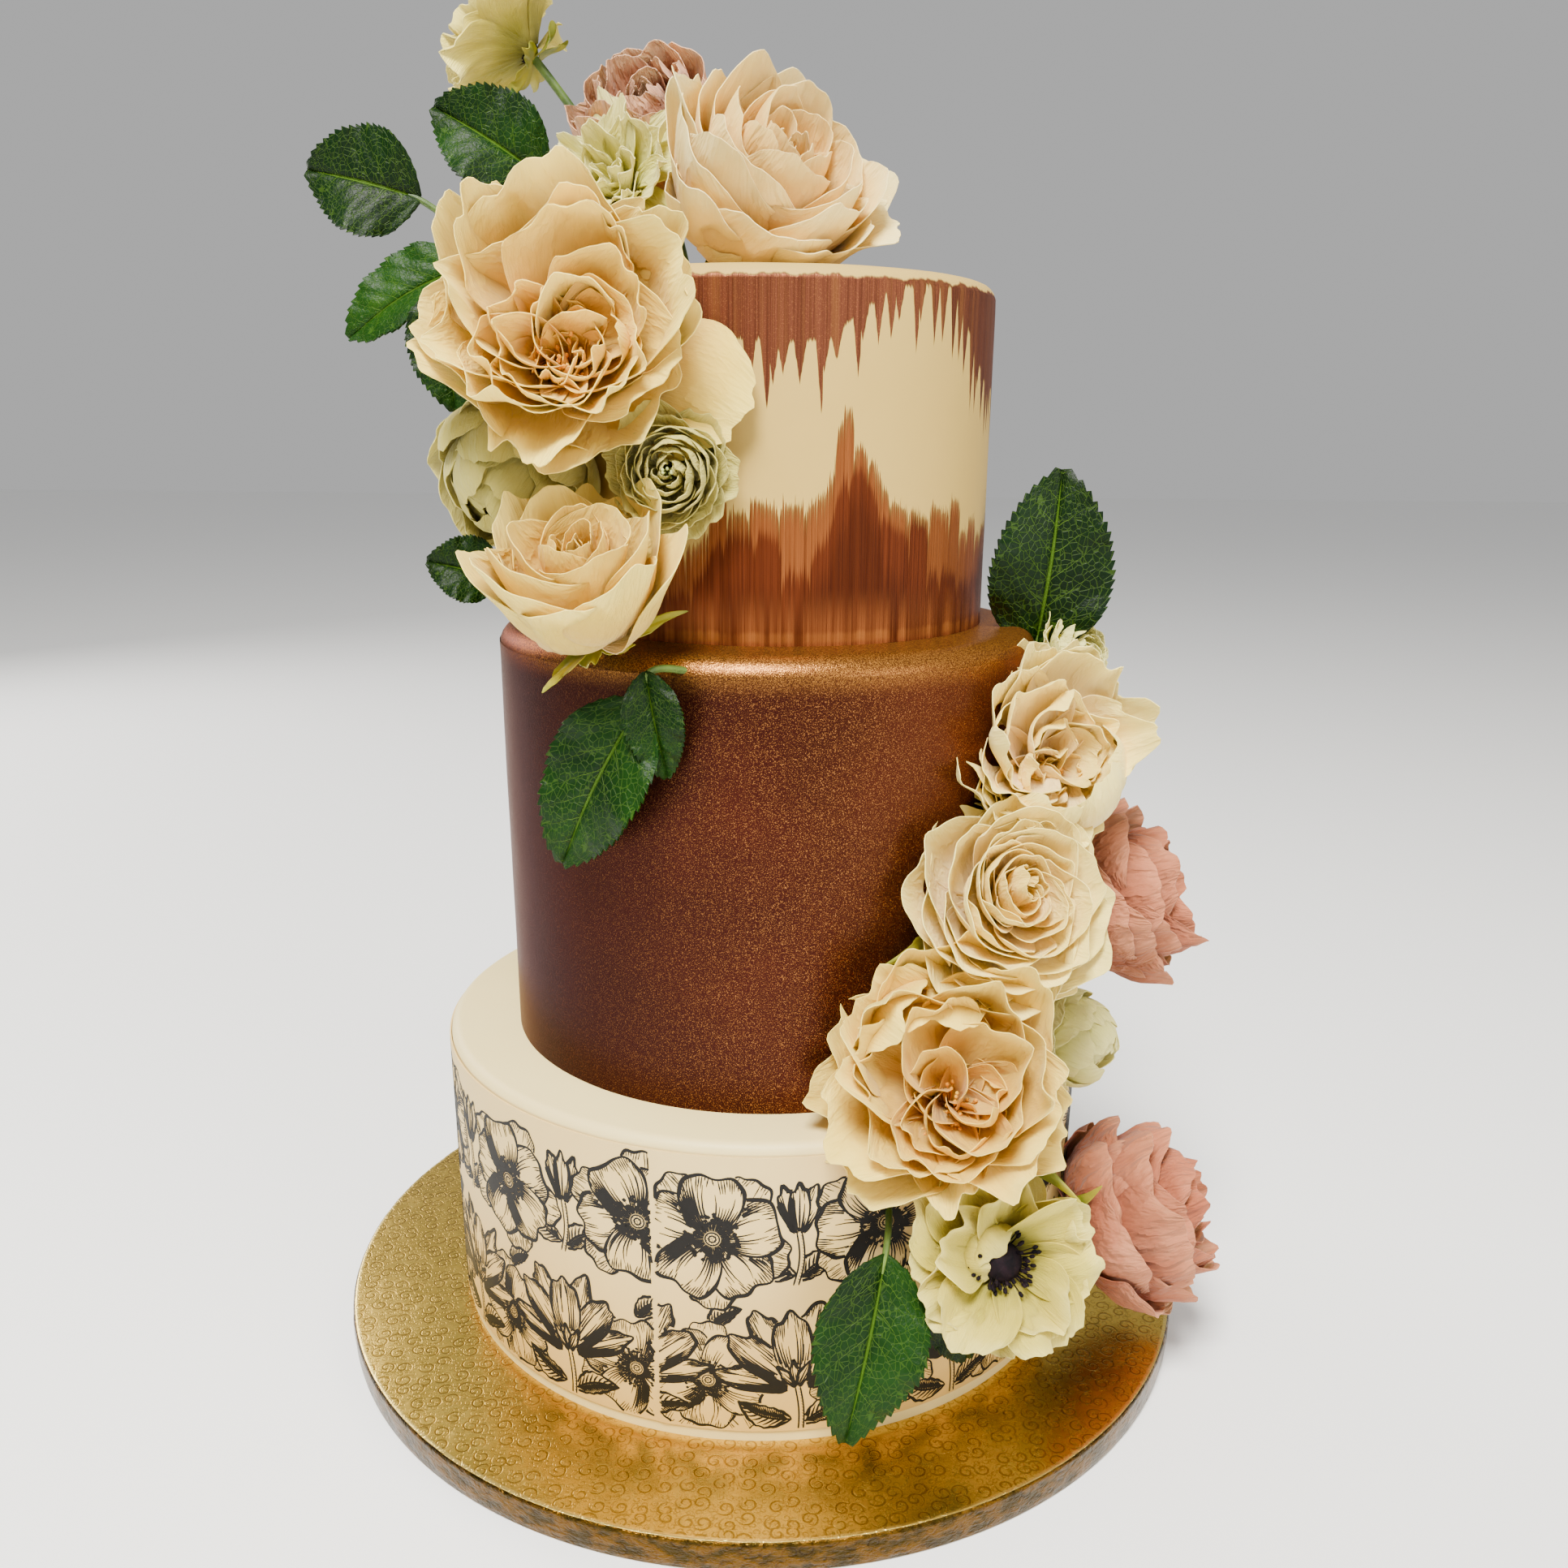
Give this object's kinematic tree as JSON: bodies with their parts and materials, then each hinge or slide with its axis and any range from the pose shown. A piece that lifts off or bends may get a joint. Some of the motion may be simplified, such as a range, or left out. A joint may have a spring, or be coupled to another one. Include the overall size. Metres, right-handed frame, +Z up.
{
  "type": "tiered wedding cake",
  "caption": "Tiered round wedding cake: copper-brushed top, copper middle and a bottom wrapped in floral print, dressed with fabric flowers and leaves, on a gold foil drum.",
  "frame": {"origin": "centre of the drum's underside", "axes": "+Z up through the tiers, -Y towards the front of the cake, +X to the right as seen from the front"},
  "size_m": [0.3556, 0.3556, 0.519],
  "materials": {
    "drum_foil": "embossed gold foil over board",
    "white_fondant": "smooth satin ivory fondant",
    "brushed_fondant": "ivory fondant, dry-brushed with copper lustre paint from the top and the foot",
    "copper_fondant": "fondant sprayed with copper lustre",
    "print_sheet": "cream edible sheet with a black line print of flowers",
    "cream_petal": "matt woven petal cloth, apricot at the heart",
    "blush_petal": "matt woven petal cloth, pale blush",
    "pink_petal": "matt woven petal cloth, dusty pink",
    "pale_petal": "matt woven petal cloth, pale green-white",
    "anemone_petal": "ribbed petal cloth, white with green at the claws",
    "green_leaf": "printed leaf cloth with raised veins"
  },
  "bodies": {
    "root": {"drum": "drum_foil", "tier_bottom": "white_fondant", "tier_middle": "copper_fondant", "tier_top": "brushed_fondant", "printed_wrap": "print_sheet", "peony_left": "cream_petal", "rose_left": "cream_petal", "ranunculus_left": "pale_petal", "rose_blush": "blush_petal", "bud_left": "pale_petal", "filler_top": "pale_petal", "rose_pink_top": "pink_petal", "rose_right": "cream_petal", "peony_right": "cream_petal", "peony_low": "cream_petal", "anemone_low": "anemone_petal", "rose_pink_mid": "pink_petal", "rose_pink_low": "pink_petal", "bud_right": "pale_petal", "ranunculus_right": "pale_petal", "anemone_top": "anemone_petal", "leaf_far_left": "green_leaf", "leaf_upper_left": "green_leaf", "leaf_left_light": "green_leaf", "leaf_left_dark": "green_leaf", "leaf_small_left": "green_leaf", "leaf_drop_big": "green_leaf", "leaf_drop_small": "green_leaf", "leaf_right_top": "green_leaf", "leaf_low_big": "green_leaf", "leaf_low_small": "green_leaf"}
  },
  "joints": []
}
